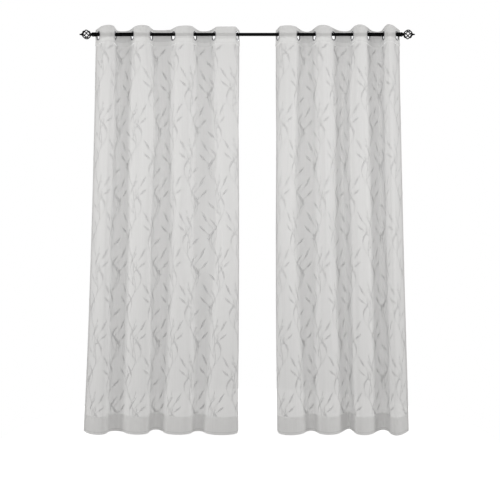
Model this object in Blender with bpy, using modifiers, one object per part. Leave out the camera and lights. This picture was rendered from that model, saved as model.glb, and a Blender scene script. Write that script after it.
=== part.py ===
"""Two sheer voile eyelet curtains on a telescopic rod with cage finials.

Metres, +Z up. X runs along the rod, to the right for somebody in the room, and -Y points into
the room. The origin is the middle of the rod's axis.

Each panel is a flat cut length of cloth that hangs in folds. At every level its plan section is
worked out again from where the fold lines stand there, with the same width of cloth at all levels.
"""

import math
from collections import namedtuple

import bmesh
import bpy
from mathutils import Matrix, Vector
from mathutils.geometry import interpolate_bezier

# The cloth of one panel, laid flat
CLOTH_WIDTH = 1.320
CLOTH_DROP = 2.430
VOILE_THICKNESS = 0.0012
EYELETS = 8
SIDE_MARGIN = 0.0475
EYELET_PITCH = (CLOTH_WIDTH - 2 * SIDE_MARGIN) / (EYELETS - 1)

# The heading, a doubled and stiffened band that carries the eyelets
HEADING_THICKNESS = 0.0024
HEADING_DEPTH = 0.098
HEADING_ABOVE_ROD = 0.0375
PIECE_GAP = 0.0003

# The eyelets: two pressed rings that grip the edge of a round hole
EYELET_RADIUS = 0.0275
EYELET_HOLE_RADIUS = 0.0200
EYELET_BARREL_RADIUS = 0.0227
EYELET_HALF_THICKNESS = 0.0034
EYELET_CROWN_RADIUS = 0.0245
EYELET_LIP_HEIGHT = 0.0020
CLOTH_HOLE_RADIUS = 0.0231
GRIP_GAP = 0.0003
HANG_GAP = 0.0008
HOLE_CUTTER_DEPTH = 0.0145
EYELET_SIDES = 16

# The rod: two outer tubes, and a thinner middle one that slides into both
OUTER_TUBE_RADIUS = 0.0110
MIDDLE_TUBE_RADIUS = 0.0095
ROD_HALF_LENGTH = 0.921
LEFT_JOINT = -0.633
RIGHT_JOINT = 0.677
TUBE_OVERLAP = 0.060
SLIDING_GAP = 0.00035
ROD_SIDES = 20

# The finials, with lengths along the rod's axis from the middle of the cage. A collar's profile
# is a table of its turned outside, measured from the collar's inner end.
ProfilePoint = namedtuple("ProfilePoint", "radius height")
CAGE_MIDDLE = 0.966
CAGE_HALF_LENGTH = 0.0248
CAGE_RADIUS = 0.025
CAGE_BARS = 6
CAGE_TWIST = math.pi
CAGE_ROLL = math.radians(12)
BAR_RADIUS = 0.0031
BAR_FIRST_RADIUS = 0.0055
BAR_POINTS = 9
HUB_RADIUS = 0.0082
HUB_INNER_FACE = 0.0225
HUB_OUTER_FACE = 0.0275
TIP_PROFILE = (
    ProfilePoint(0, 0.0420),
    ProfilePoint(0.0028, 0.0415),
    ProfilePoint(0.0042, 0.0395),
    ProfilePoint(0.0040, 0.0345),
    ProfilePoint(0.0062, 0.0285),
    ProfilePoint(HUB_RADIUS, HUB_OUTER_FACE),
    ProfilePoint(HUB_RADIUS, HUB_INNER_FACE),
    ProfilePoint(0, HUB_INNER_FACE),
)
COLLAR_START = 0.9105
COLLAR_LENGTH = CAGE_MIDDLE - HUB_OUTER_FACE - PIECE_GAP - COLLAR_START
COLLAR_SOCKET_DEPTH = 0.0110
COLLAR_PROFILE = (
    ProfilePoint(0, COLLAR_LENGTH),
    ProfilePoint(0.0070, COLLAR_LENGTH),
    ProfilePoint(0.0088, 0.0265),
    ProfilePoint(0.0132, 0.0170),
    ProfilePoint(0.0120, 0.0100),
    ProfilePoint(0.0120, 0.0060),
    ProfilePoint(0.0130, 0.0050),
    ProfilePoint(0.0130, 0),
)
FINIAL_SIDES = 12

# How the cloth is divided: a stub each side of a fold line, and the bulge between
BULGE_COLUMNS = 6
MARGIN_COLUMNS = 2
ROWS = 12
EYELET_STUB = 0.030
STUBS_GONE_BY = 0.60
STEEPEST_CROSSING = math.radians(74)
BULGE_POINTS = 25
HALVINGS = 22
WELD_DISTANCE = 0.00001

# A fold line is where the cloth crosses under the rod, between a front fold and a back fold.
# Its columns are x at five levels, its place along the cloth's width at the hem, and its lean:
# how many degrees more steeply the cloth crosses there than in an even fold. The front folds hang
# over towards the middle of the pair. The heights of the levels come first, from the rod down.
LEVEL_HEIGHTS = (-0.065, -0.52, -1.20, -1.90, -2.39)
FoldLine = namedtuple("FoldLine", "rod upper middle low hem cloth_at_hem lean")
LEFT_FOLDS = (
    FoldLine(-0.893, -0.903, -0.919, -0.942, -0.966, 0.0475, -18),
    FoldLine(-0.793, -0.796, -0.819, -0.826, -0.840, 0.2225, 16),
    FoldLine(-0.689, -0.709, -0.712, -0.727, -0.738, 0.3575, -11),
    FoldLine(-0.577, -0.552, -0.574, -0.578, -0.592, 0.5405, 16),
    FoldLine(-0.443, -0.451, -0.451, -0.472, -0.497, 0.7155, -2),
    FoldLine(-0.314, -0.319, -0.328, -0.318, -0.332, 0.9205, 8),
    FoldLine(-0.199, -0.187, -0.184, -0.222, -0.258, 1.0255, 2),
    FoldLine(-0.061, -0.052, -0.050, -0.053, -0.058, 1.2725, 22),
)
RIGHT_FOLDS = (
    FoldLine(0.186, 0.180, 0.178, 0.180, 0.187, 0.0475, 12),
    FoldLine(0.306, 0.299, 0.290, 0.322, 0.348, 0.2625, -6),
    FoldLine(0.405, 0.413, 0.419, 0.406, 0.422, 0.3825, 2),
    FoldLine(0.518, 0.527, 0.527, 0.548, 0.564, 0.5675, -14),
    FoldLine(0.632, 0.608, 0.620, 0.632, 0.646, 0.7625, 9),
    FoldLine(0.728, 0.743, 0.755, 0.766, 0.768, 0.9425, -14),
    FoldLine(0.820, 0.824, 0.836, 0.851, 0.855, 1.0975, 14),
    FoldLine(0.899, 0.909, 0.924, 0.942, 0.955, 1.2725, -17),
)
PANELS = {"left": LEFT_FOLDS, "right": RIGHT_FOLDS}
Knot = namedtuple("Knot", "place cloth angle")

FRONT = -1
BACK = 1
HEADING_TOP = HEADING_ABOVE_ROD
HEADING_BOTTOM = HEADING_ABOVE_ROD - HEADING_DEPTH
PANEL_TOP = HEADING_BOTTOM - PIECE_GAP
HEM = HEADING_ABOVE_ROD - CLOTH_DROP

Finish = namedtuple("Finish", "colour roughness metallic")
FINISHES = {
    "voile": Finish((0.84, 0.84, 0.85), 0.9, 0.0),
    "heading band": Finish((0.88, 0.88, 0.89), 0.9, 0.0),
    "eyelet chrome": Finish((0.72, 0.73, 0.75), 0.2, 1.0),
    "black metal": Finish((0.010, 0.010, 0.011), 0.4, 0.6),
}


def clear_scene():
    for obj in list(bpy.data.objects):
        bpy.data.objects.remove(obj, do_unlink=True)


def new_collection(name):
    collection = bpy.data.collections.new(name)
    bpy.context.scene.collection.children.link(collection)
    return collection


def new_material(name, finish):
    material = bpy.data.materials.new(name)
    material.use_nodes = True
    shader = material.node_tree.nodes["Principled BSDF"]
    shader.inputs["Base Color"].default_value = (*finish.colour, 1)
    shader.inputs["Roughness"].default_value = finish.roughness
    shader.inputs["Metallic"].default_value = finish.metallic
    material.diffuse_color = (*finish.colour, 1)
    return material


def add_object(name, data, finish):
    """A part of the curtains, in their collection and with its own finish."""
    obj = bpy.data.objects.new(name, data)
    curtains.objects.link(obj)
    data.materials.append(materials[finish])
    return obj


def make_helper(obj):
    """Moves an object that only cuts or joins out of the curtains' collection."""
    curtains.objects.unlink(obj)
    helpers.objects.link(obj)
    obj.hide_render = True
    obj.display_type = "WIRE"


def between_levels(line, z):
    """A fold line's x at height z, on a smooth curve through its levels."""
    heights = LEVEL_HEIGHTS
    places = line[:len(heights)]
    last = len(heights) - 1
    step = 0
    while step < last - 1 and z < heights[step + 1]:
        step += 1
    before = max(step - 1, 0)
    after = min(step + 2, last)
    height = heights[step + 1] - heights[step]
    start_slope = (places[step + 1] - places[before]) / (heights[step + 1] - heights[before])
    end_slope = (places[after] - places[step]) / (heights[after] - heights[step])
    t = min(max((z - heights[step]) / height, 0.0), 1.0)
    rise = t * t * (3 - 2 * t)
    start_pull = t * (1 - t) ** 2 * start_slope * height
    end_pull = t * t * (t - 1) * end_slope * height
    return places[step] * (1 - rise) + places[step + 1] * rise + start_pull + end_pull


def fallen(z):
    """How far down the panel a height is: 0 at the heading, 1 at the hem."""
    return min(max((PANEL_TOP - z) / (PANEL_TOP - HEM), 0.0), 1.0)


def stub_length(z):
    """How far the cloth runs straight from a fold line: stiff at the eyelets, soft lower down."""
    return EYELET_STUB * max(0.0, 1 - fallen(z) / STUBS_GONE_BY)


def direction(angle, side):
    """The way the cloth runs at this angle to the rod, towards a front or a back fold."""
    return Vector((math.cos(angle), side * math.sin(angle), 0))


def round_fold_angle(cloth, spacing, stub):
    """The crossing angle of a fold whose straight stubs lead into one round arc between them."""
    flat, steep = 0.0, STEEPEST_CROSSING
    for _ in range(HALVINGS):
        angle = (flat + steep) / 2
        arc = cloth - 2 * stub
        chord = spacing - 2 * stub * math.cos(angle)
        if arc * math.sin(angle) > angle * chord:
            flat = angle
        else:
            steep = angle
    return angle


def fold_knots(folds, z):
    """Where each fold line is at height z, its place along the cloth and its crossing angle."""
    fall = fallen(z)
    stub = stub_length(z)
    places = [Vector((between_levels(line, z), 0, z)) for line in folds]
    cloth = []
    for number, line in enumerate(folds):
        at_rod = SIDE_MARGIN + EYELET_PITCH * number
        cloth.append(at_rod + (line.cloth_at_hem - at_rod) * fall)
    angles = []
    for number in range(EYELETS - 1):
        spacing = (places[number + 1] - places[number]).length
        angles.append(round_fold_angle(cloth[number + 1] - cloth[number], spacing, stub))
    before = [angles[0], *angles]
    after = [*angles, angles[-1]]
    leaning = [
        (a + b) / 2 + math.radians(line.lean) for a, b, line in zip(before, after, folds)
    ]
    return [Knot(*knot) for knot in zip(places, cloth, leaning)]


def length_of(points):
    return sum((b - a).length for a, b in zip(points, points[1:]))


def bulge(start, end, leaving, arriving, cloth):
    """One fold from start to end, as deep as its width of cloth makes it."""
    shallow, deep = 0.0, cloth
    for _ in range(HALVINGS):
        pull = (shallow + deep) / 2
        first_handle = start + leaving * pull
        last_handle = end - arriving * pull
        points = interpolate_bezier(start, first_handle, last_handle, end, BULGE_POINTS)
        if length_of(points) < cloth:
            shallow = pull
        else:
            deep = pull
    return points


def point_along(points, distance):
    """The place that lies this far along a row of points."""
    for a, b in zip(points, points[1:]):
        piece = (b - a).length
        if distance <= piece:
            return a.lerp(b, distance / piece)
        distance -= piece
    return points[-1].copy()


def fold_side(line_number):
    """Which way the cloth goes after a fold line: the first fold of a panel is a front one."""
    return BACK if line_number % 2 else FRONT


def plan_section(folds, z):
    """The cloth's points at height z, from its left edge to its right edge."""
    stub = stub_length(z)
    knots = fold_knots(folds, z)
    section = []
    for column in range(MARGIN_COLUMNS):
        reach = SIDE_MARGIN * (1 - column / MARGIN_COLUMNS)
        section.append(knots[0].place - direction(knots[0].angle, FRONT) * reach)
    for number, (first, last) in enumerate(zip(knots, knots[1:])):
        side = fold_side(number)
        leaving = direction(first.angle, side)
        arriving = direction(last.angle, -side)
        cloth = last.cloth - first.cloth
        bulge_start = first.place + leaving * stub
        bulge_end = last.place - arriving * stub
        curve = bulge(bulge_start, bulge_end, leaving, arriving, cloth - 2 * stub)
        whole = [first.place, *curve, last.place]
        section.append(first.place)
        first_stub = EYELET_STUB * cloth / EYELET_PITCH
        for column in range(BULGE_COLUMNS + 1):
            reach = first_stub + (cloth - 2 * first_stub) * column / BULGE_COLUMNS
            section.append(point_along(whole, reach))
    for column in range(MARGIN_COLUMNS + 1):
        reach = SIDE_MARGIN * column / MARGIN_COLUMNS
        section.append(knots[-1].place + direction(knots[-1].angle, BACK) * reach)
    return section


def hung_cloth(name, folds, heights, thickness, finish):
    """A flat grid, one row of points for each height, carried to where its cloth hangs."""
    sections = [plan_section(folds, z) for z in heights]
    columns = len(sections[0]) - 1
    rows = len(heights) - 1
    mesh = bpy.data.meshes.new(name)
    grid = bmesh.new()
    bmesh.ops.create_grid(grid, x_segments=columns, y_segments=rows, size=0.5)
    for vertex in grid.verts:
        column = round((vertex.co.x + 0.5) * columns)
        row = round((0.5 - vertex.co.y) * rows)
        vertex.co = sections[row][column]
    grid.to_mesh(mesh)
    grid.free()
    mesh.shade_smooth()
    cloth = add_object(name, mesh, finish)
    solid = cloth.modifiers.new("Cloth thickness", "SOLIDIFY")
    solid.thickness = thickness
    solid.offset = 0
    solid.use_even_offset = True
    return cloth


def add_panel(side, folds):
    """The voile from the heading down to the hem."""
    heights = [PANEL_TOP + (HEM - PANEL_TOP) * row / ROWS for row in range(ROWS + 1)]
    return hung_cloth(f"panel_{side}", folds, heights, VOILE_THICKNESS, "voile")


def turned(name, profile, steps, finish, closed=False):
    """A profile of (radius, height) points, top to bottom on its outer side, turned about Z."""
    mesh = bpy.data.meshes.new(name)
    outline = bmesh.new()
    corners = [outline.verts.new((radius, 0, height)) for radius, height in profile]
    for a, b in zip(corners, corners[1:]):
        outline.edges.new((a, b))
    if closed:
        outline.edges.new((corners[-1], corners[0]))
    outline.to_mesh(mesh)
    outline.free()
    obj = add_object(name, mesh, finish)
    screw = obj.modifiers.new("Turned", "SCREW")
    screw.steps = steps
    screw.render_steps = steps
    screw.use_merge_vertices = True
    screw.merge_threshold = WELD_DISTANCE
    screw.use_smooth_shade = False
    return obj


def eyelet_frames(folds):
    """Each eyelet's place: hung on the rod, its axis square to the cloth and its local X up."""
    up = Vector((0, 0, 1))
    frames = []
    for number, knot in enumerate(fold_knots(folds, HEADING_TOP)):
        axis = direction(knot.angle, fold_side(number)).cross(up)
        on_middle_tube = LEFT_JOINT < knot.place.x < RIGHT_JOINT
        tube_radius = MIDDLE_TUBE_RADIUS if on_middle_tube else OUTER_TUBE_RADIUS
        middle = Vector((knot.place.x, 0, tube_radius + HANG_GAP - EYELET_HOLE_RADIUS))
        turn = Matrix((up, axis.cross(up), axis)).transposed().to_4x4()
        frames.append(Matrix.Translation(middle) @ turn)
    return frames


def add_eyelet(name, frame):
    grip = HEADING_THICKNESS / 2 + GRIP_GAP
    profile = (
        (EYELET_HOLE_RADIUS, EYELET_LIP_HEIGHT),
        (EYELET_CROWN_RADIUS, EYELET_HALF_THICKNESS),
        (EYELET_RADIUS, grip),
        (EYELET_BARREL_RADIUS, grip),
        (EYELET_BARREL_RADIUS, -grip),
        (EYELET_RADIUS, -grip),
        (EYELET_CROWN_RADIUS, -EYELET_HALF_THICKNESS),
        (EYELET_HOLE_RADIUS, -EYELET_LIP_HEIGHT),
    )
    eyelet = turned(name, profile, EYELET_SIDES, "eyelet chrome", closed=True)
    eyelet.matrix_world = frame
    return eyelet


def eyelet_cutters(side, frames):
    """One object with a round cutter for each hole in a heading."""
    mesh = bpy.data.meshes.new(f"eyelet holes {side}")
    cutters = bmesh.new()
    for frame in frames:
        bmesh.ops.create_cone(
            cutters,
            cap_ends=True,
            segments=EYELET_SIDES,
            radius1=CLOTH_HOLE_RADIUS,
            radius2=CLOTH_HOLE_RADIUS,
            depth=HOLE_CUTTER_DEPTH,
            matrix=frame @ Matrix.Rotation(math.pi / 2, 4, "Z"),
        )
    cutters.to_mesh(mesh)
    cutters.free()
    obj = add_object(f"eyelet holes {side}", mesh, "heading band")
    make_helper(obj)
    return obj


def add_heading(side, folds):
    """The band along the top, with a round hole for each eyelet."""
    heights = [HEADING_TOP, HEADING_BOTTOM]
    heading = hung_cloth(f"heading_{side}", folds, heights, HEADING_THICKNESS, "heading band")
    holes = heading.modifiers.new("Eyelet holes", "BOOLEAN")
    holes.operation = "DIFFERENCE"
    holes.solver = "EXACT"
    holes.object = eyelet_cutters(side, eyelet_frames(folds))
    return heading


def along_rod(obj, x, outward):
    """Lays a turned piece on the rod's axis: its local +Z points outward, left or right."""
    obj.location = (x, 0, 0)
    obj.rotation_euler = (0, outward * math.pi / 2, 0)


def add_outer_tube(side, outward, joint):
    """An outer tube, whose inner end has the socket that the middle tube slides into."""
    length = ROD_HALF_LENGTH - abs(joint)
    socket_radius = MIDDLE_TUBE_RADIUS + SLIDING_GAP
    profile = (
        (0, length),
        (OUTER_TUBE_RADIUS, length),
        (OUTER_TUBE_RADIUS, 0),
        (socket_radius, 0),
        (socket_radius, TUBE_OVERLAP),
        (0, TUBE_OVERLAP),
    )
    tube = turned(f"rod_tube_{side}", profile, ROD_SIDES, "black metal")
    along_rod(tube, joint, outward)
    return tube


def add_middle_tube():
    left = LEFT_JOINT - TUBE_OVERLAP + PIECE_GAP
    right = RIGHT_JOINT + TUBE_OVERLAP - PIECE_GAP
    profile = (
        (0, right - left),
        (MIDDLE_TUBE_RADIUS, right - left),
        (MIDDLE_TUBE_RADIUS, 0),
        (0, 0),
    )
    tube = turned("rod_tube_middle", profile, ROD_SIDES, "black metal")
    along_rod(tube, left, 1)
    return tube


def add_collar(side, outward):
    """The finial's collar, a turned cap whose socket takes the end of the rod."""
    socket_radius = OUTER_TUBE_RADIUS + SLIDING_GAP
    socket = ((socket_radius, 0), (socket_radius, COLLAR_SOCKET_DEPTH), (0, COLLAR_SOCKET_DEPTH))
    profile = (*COLLAR_PROFILE, *socket)
    collar = turned(f"finial_collar_{side}", profile, ROD_SIDES, "black metal")
    along_rod(collar, outward * COLLAR_START, outward)
    return collar


def bar_path(number, outward):
    """A cage bar's points: pole to pole on a ball, turning half way round.

    The cage is rolled a little, so that somebody looking up at it sees its bars meet in a diamond.
    """
    start = math.asin(BAR_FIRST_RADIUS / CAGE_RADIUS)
    points = []
    for step in range(BAR_POINTS):
        angle = start + (math.pi - 2 * start) * step / (BAR_POINTS - 1)
        turn = 2 * math.pi * number / CAGE_BARS + CAGE_TWIST * angle / math.pi
        turn -= outward * CAGE_ROLL
        radius = CAGE_RADIUS * math.sin(angle)
        height = -CAGE_HALF_LENGTH * math.cos(angle)
        points.append((radius * math.cos(turn), radius * math.sin(turn), height))
    return points


def add_bar(side, outward, number, parent):
    """One bar of the cage, as a mesh that can be joined to the hubs."""
    curve = bpy.data.curves.new(f"bar curve {side} {number}", "CURVE")
    curve.dimensions = "3D"
    curve.bevel_depth = BAR_RADIUS
    curve.bevel_resolution = 1
    curve.use_fill_caps = True
    spline = curve.splines.new("POLY")
    spline.points.add(BAR_POINTS - 1)
    for point, place in zip(spline.points, bar_path(number, outward)):
        point.co = (*place, 1)
    wire = add_object(f"bar wire {side} {number}", curve, "black metal")
    graph = bpy.context.evaluated_depsgraph_get()
    mesh = bpy.data.meshes.new_from_object(wire.evaluated_get(graph))
    welded = bmesh.new()
    welded.from_mesh(mesh)
    bmesh.ops.remove_doubles(welded, verts=welded.verts, dist=WELD_DISTANCE)
    welded.to_mesh(mesh)
    welded.free()
    bpy.data.objects.remove(wire, do_unlink=True)
    bar = bpy.data.objects.new(f"bar {side} {number}", mesh)
    curtains.objects.link(bar)
    bar.parent = parent
    make_helper(bar)
    return bar


def add_cage(side, outward):
    """The open cage: an inner hub, the tip with its hub, and the twisted bars, all welded."""
    middle = bpy.data.objects.new(f"cage middle {side}", None)
    helpers.objects.link(middle)
    along_rod(middle, outward * CAGE_MIDDLE, outward)
    inner_hub = (
        (0, -HUB_INNER_FACE),
        (HUB_RADIUS, -HUB_INNER_FACE),
        (HUB_RADIUS, -HUB_OUTER_FACE),
        (0, -HUB_OUTER_FACE),
    )
    cage = turned(f"finial_cage_{side}", inner_hub, FINIAL_SIDES, "black metal")
    cage.parent = middle
    tip_object = turned(f"tip {side}", TIP_PROFILE, FINIAL_SIDES, "black metal")
    tip_object.parent = middle
    make_helper(tip_object)
    bars = [add_bar(side, outward, number, middle) for number in range(CAGE_BARS)]
    for piece in [*bars, tip_object]:
        weld = cage.modifiers.new(f"Weld {piece.name}", "BOOLEAN")
        weld.operation = "UNION"
        weld.solver = "EXACT"
        weld.object = piece
    return cage


def build():
    for side, folds in PANELS.items():
        add_panel(side, folds)
        add_heading(side, folds)
        for number, frame in enumerate(eyelet_frames(folds), 1):
            add_eyelet(f"eyelet_{side}_{number}", frame)
    add_middle_tube()
    for side, outward, joint in (("left", -1, LEFT_JOINT), ("right", 1, RIGHT_JOINT)):
        add_outer_tube(side, outward, joint)
        add_collar(side, outward)
        add_cage(side, outward)


clear_scene()
curtains = new_collection("voile eyelet curtains")
helpers = new_collection("cutters and guides")
materials = {name: new_material(name, finish) for name, finish in FINISHES.items()}
build()
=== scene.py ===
# %% [markdown]
# # Sheer voile curtains on their rod
#
# The real object is a pair of eyelet curtains in white voile, embroidered with willow vines, on a
# black telescopic rod with open cage finials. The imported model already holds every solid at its
# real size. This script dresses it: thin cloth in place of the plain sheets, thread, rings and
# metal, then the studio.
#
# Everything is in metres, +Z up, and the origin is the middle of the rod. -Y points into the room.

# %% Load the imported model
import math
from collections import namedtuple

import bmesh
import bpy
from mathutils import Matrix, Vector, noise
from mathutils.geometry import interpolate_bezier


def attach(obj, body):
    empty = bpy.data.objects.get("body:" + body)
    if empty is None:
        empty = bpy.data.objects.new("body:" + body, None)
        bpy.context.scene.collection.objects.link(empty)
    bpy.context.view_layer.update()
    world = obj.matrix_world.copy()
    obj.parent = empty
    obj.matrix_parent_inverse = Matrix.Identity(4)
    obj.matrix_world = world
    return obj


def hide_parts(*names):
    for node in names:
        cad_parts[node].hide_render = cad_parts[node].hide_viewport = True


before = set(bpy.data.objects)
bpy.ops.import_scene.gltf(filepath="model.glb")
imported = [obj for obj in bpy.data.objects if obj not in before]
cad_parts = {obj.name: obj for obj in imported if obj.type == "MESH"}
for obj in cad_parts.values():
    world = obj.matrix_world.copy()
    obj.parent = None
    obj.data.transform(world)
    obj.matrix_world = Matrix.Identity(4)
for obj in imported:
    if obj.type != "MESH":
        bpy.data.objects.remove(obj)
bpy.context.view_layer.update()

# %% [markdown]
# ## Camera
#
# A camera can be turned by hand until the render looks right, or worked out. The rod and the hem
# give the scale in the rod's plane, and the way the folds' top and bottom edges curve gives the
# eye's height and distance. So the view is worked out from those, with a level camera, and a small
# shift takes up what is left over.

# %% Camera
PHOTO_WIDTH = 500
PHOTO_HEIGHT = 488
METRES_PER_PIXEL = 0.00601
EYE_DISTANCE = 3.95
SENSOR_WIDTH = 36.0
ROD_ROW = 34.45
ROD_MIDDLE_COLUMN = 247.2
HORIZON_ROW = 248.0

camera_data = bpy.data.cameras.new("camera")
camera_data.sensor_width = SENSOR_WIDTH
camera_data.lens = EYE_DISTANCE / METRES_PER_PIXEL * SENSOR_WIDTH / PHOTO_WIDTH
camera_data.shift_x = (PHOTO_WIDTH / 2 - ROD_MIDDLE_COLUMN) / PHOTO_WIDTH
camera_data.shift_y = (HORIZON_ROW - PHOTO_HEIGHT / 2) / PHOTO_WIDTH
camera = bpy.data.objects.new("camera", camera_data)
camera.location = (0, -EYE_DISTANCE, (ROD_ROW - HORIZON_ROW) * METRES_PER_PIXEL)
camera.rotation_euler = (math.pi / 2, 0, 0)
bpy.context.scene.collection.objects.link(camera)
bpy.context.scene.camera = camera
print(f"lens {camera_data.lens:.1f} mm, eye {-camera.location.z:.3f} m below the rod")

# %% [markdown]
# ## Light
#
# White cloth on white shows only by its folds. Two tall softboxes stand almost level with the
# cloth, far round to the left and the right: they light the front folds and their flanks, and the
# back folds stay in a soft shade. A weaker one in front, a little above the middle of the cloth,
# evens out the fronts, and a fourth lights the back. The surroundings are white to look at but
# give less light than they show, as a lit paper backdrop does in a studio.

# %% Softboxes and surroundings
SoftBox = namedtuple("SoftBox", "azimuth elevation distance width height watts colour")
SOFT_BOXES = (
    SoftBox(-68, 4, 3.6, 0.9, 1.8, 30, (1.0, 0.995, 0.985)),
    SoftBox(68, 4, 3.6, 0.9, 1.8, 30, (1.0, 0.995, 0.985)),
    SoftBox(0, 13, 2.2, 1.6, 1.2, 14, (1.0, 1.0, 1.0)),
    SoftBox(160, 30, 4.0, 1.4, 1.6, 40, (1.0, 1.0, 1.0)),
)
AMBIENT_COLOUR = (1.0, 0.99, 0.975)
AMBIENT_STRENGTH = 0.34
LIGHT_TARGET = Vector((0, 0, -0.95))


def add_soft_box(number, box):
    azimuth = math.radians(box.azimuth)
    elevation = math.radians(box.elevation)
    level = math.cos(elevation) * box.distance
    offset = Vector((math.sin(azimuth) * level, -math.cos(azimuth) * level, 0))
    offset.z = math.sin(elevation) * box.distance
    lamp = bpy.data.lights.new(f"softbox {number}", "AREA")
    lamp.shape = "RECTANGLE"
    lamp.size = box.width
    lamp.size_y = box.height
    lamp.energy = box.watts
    lamp.color = box.colour
    holder = bpy.data.objects.new(f"softbox {number}", lamp)
    holder.location = LIGHT_TARGET + offset
    holder.rotation_euler = (-offset).to_track_quat("-Z", "Y").to_euler()
    holder.visible_camera = False
    bpy.context.scene.collection.objects.link(holder)


for number, box in enumerate(SOFT_BOXES, 1):
    add_soft_box(number, box)

world = bpy.data.worlds.new("studio")
world.use_nodes = True
bpy.context.scene.world = world
sky = world.node_tree
shown = sky.nodes["Background"]
shown.inputs["Color"].default_value = (1, 1, 1, 1)
lighting = sky.nodes.new("ShaderNodeBackground")
lighting.inputs["Color"].default_value = (*AMBIENT_COLOUR, 1)
lighting.inputs["Strength"].default_value = AMBIENT_STRENGTH
either = sky.nodes.new("ShaderNodeMixShader")
seen = sky.nodes.new("ShaderNodeLightPath")
sky.links.new(seen.outputs["Is Camera Ray"], either.inputs[0])
sky.links.new(lighting.outputs[0], either.inputs[1])
sky.links.new(shown.outputs[0], either.inputs[2])
sky.links.new(either.outputs[0], sky.nodes["World Output"].inputs["Surface"])
bpy.context.scene.view_settings.view_transform = "Standard"
print("softboxes:", len(SOFT_BOXES))

# %% [markdown]
# ## Finishes
#
# Each finish is a small graph of nodes. A helper adds one node at a time: its inputs are numbers,
# or the outputs of nodes made before it, so a graph reads from top to bottom. Colours and numbers
# that are the same all over sit on the shader itself.

# %% A helper for nodes
def add_node(finish, kind, inputs=None, **settings):
    """One node. The settings are its own options, and the inputs are numbers or other outputs."""
    made = finish.node_tree.nodes.new(kind)
    for key, value in settings.items():
        setattr(made, key, value)
    for key, value in (inputs or {}).items():
        if isinstance(value, bpy.types.NodeSocket):
            finish.node_tree.links.new(value, made.inputs[key])
        else:
            made.inputs[key].default_value = value
    return made.outputs


def new_finish(name, values):
    """A material with one Principled shader, whose sockets take these values."""
    finish = bpy.data.materials.new(name)
    finish.use_nodes = True
    for key, value in values.items():
        finish.node_tree.nodes["Principled BSDF"].inputs[key].default_value = value
    return finish


def feed(finish, key, output):
    shader = finish.node_tree.nodes["Principled BSDF"]
    finish.node_tree.links.new(output, shader.inputs[key])


def add_noise(finish, place, scale):
    return add_node(finish, "ShaderNodeTexNoise", {"Vector": place, "Scale": scale})[0]


def add_bump(finish, height, strength, distance):
    """Feeds a height to the shader as fine relief, this many metres deep."""
    values = {"Height": height, "Strength": strength, "Distance": distance}
    feed(finish, "Normal", add_node(finish, "ShaderNodeBump", values)[0])


def two_tones(finish, amount, dark, light, spread=(0.3, 0.7)):
    """A colour between two greys or tints. The amount goes from one to the other in the spread."""
    ramp = finish.node_tree.nodes.new("ShaderNodeValToRGB")
    for element, colour, position in zip(ramp.color_ramp.elements, (dark, light), spread):
        element.color = (*colour, 1)
        element.position = position
    finish.node_tree.links.new(amount, ramp.inputs["Fac"])
    return ramp.outputs["Color"]


# %% [markdown]
# ## Voile
#
# Voile is a plain weave of fine, hard-twisted thread, so open that some of what lies behind it
# shows. The openings are too small to model, so the shader's alpha stands for them. The weave
# itself is two bands of waves, one for each set of threads, read from the cloth's own flat sizes,
# so it follows every fold. Thread is never quite even, so long faint streaks run down the cloth,
# and fainter ones across it. Sheen brightens the cloth where it turns edge on.
#
# Cloth that lies double looks whiter. So a finish also has layers, each a height below which its
# tone goes up or down by a share. The voile's are the hem, a painted shadow: a dark line just
# above its stitched edge, and that edge. The heading's are its facing and the facing's fold.

# %% Voile and heading band
WARP_STREAKS = (110, 0.8, 1)
WEFT_STREAKS = (1.5, 260, 1)
WEFT_SHARE = 0.25
STREAK_SHARE = 0.45
WAVE_FREQUENCY = 20
Layer = namedtuple("Layer", "below share")


def wave_scale(pitch):
    """The scale at which a wave texture's bands repeat at this pitch, in metres."""
    return 2 * math.pi / WAVE_FREQUENCY / pitch


def streaks(finish, cloth, changes):
    """Noise drawn out along the cloth, from how often it changes in a metre across and down."""
    drawn_out = add_node(finish, "ShaderNodeMapping", {"Vector": cloth, "Scale": changes})[0]
    return add_noise(finish, drawn_out, 1.0)


def woven(name, alpha, thread_pitch, relief, dark, light, layers):
    """A plain weave laid out on the flat cloth in metres, whiter or darker below some heights."""
    finish = new_finish(name, {
        "Alpha": alpha,
        "Roughness": 0.9,
        "Specular IOR Level": 0.25,
        "Sheen Weight": 1.0,
        "Sheen Roughness": 0.8,
    })
    cloth = add_node(finish, "ShaderNodeTexCoord")["UV"]
    warp_streaks = streaks(finish, cloth, WARP_STREAKS)
    weft_streaks = streaks(finish, cloth, WEFT_STREAKS)
    shares = {0: WEFT_SHARE, 2: warp_streaks, 3: weft_streaks}
    uneven = add_node(finish, "ShaderNodeMix", shares)[0]
    height = add_node(finish, "ShaderNodeSeparateXYZ", {"Vector": cloth})["Y"]
    quiet = {0: uneven, 1: STREAK_SHARE, 2: (1 - STREAK_SHARE) / 2}
    amount = add_node(finish, "ShaderNodeMath", quiet, operation="MULTIPLY_ADD")
    for layer in layers:
        below = {0: height, 1: layer.below}
        covered = add_node(finish, "ShaderNodeMath", below, operation="LESS_THAN")
        changed = {0: covered[0], 1: layer.share, 2: amount[0]}
        amount = add_node(finish, "ShaderNodeMath", changed, operation="MULTIPLY_ADD")
    feed(finish, "Base Color", two_tones(finish, amount[0], dark, light, spread=(0, 1)))
    scale = wave_scale(thread_pitch)
    threads = {"Vector": cloth, "Scale": scale, "Distortion": 0.6, "Detail": 1.0}
    warp = add_node(finish, "ShaderNodeTexWave", threads, bands_direction="X")
    weft = add_node(finish, "ShaderNodeTexWave", threads, bands_direction="Y")
    weave = add_node(finish, "ShaderNodeMath", {0: warp[1], 1: weft[1]}, operation="MAXIMUM")
    add_bump(finish, weave[0], 0.4, relief)
    return finish


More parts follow.
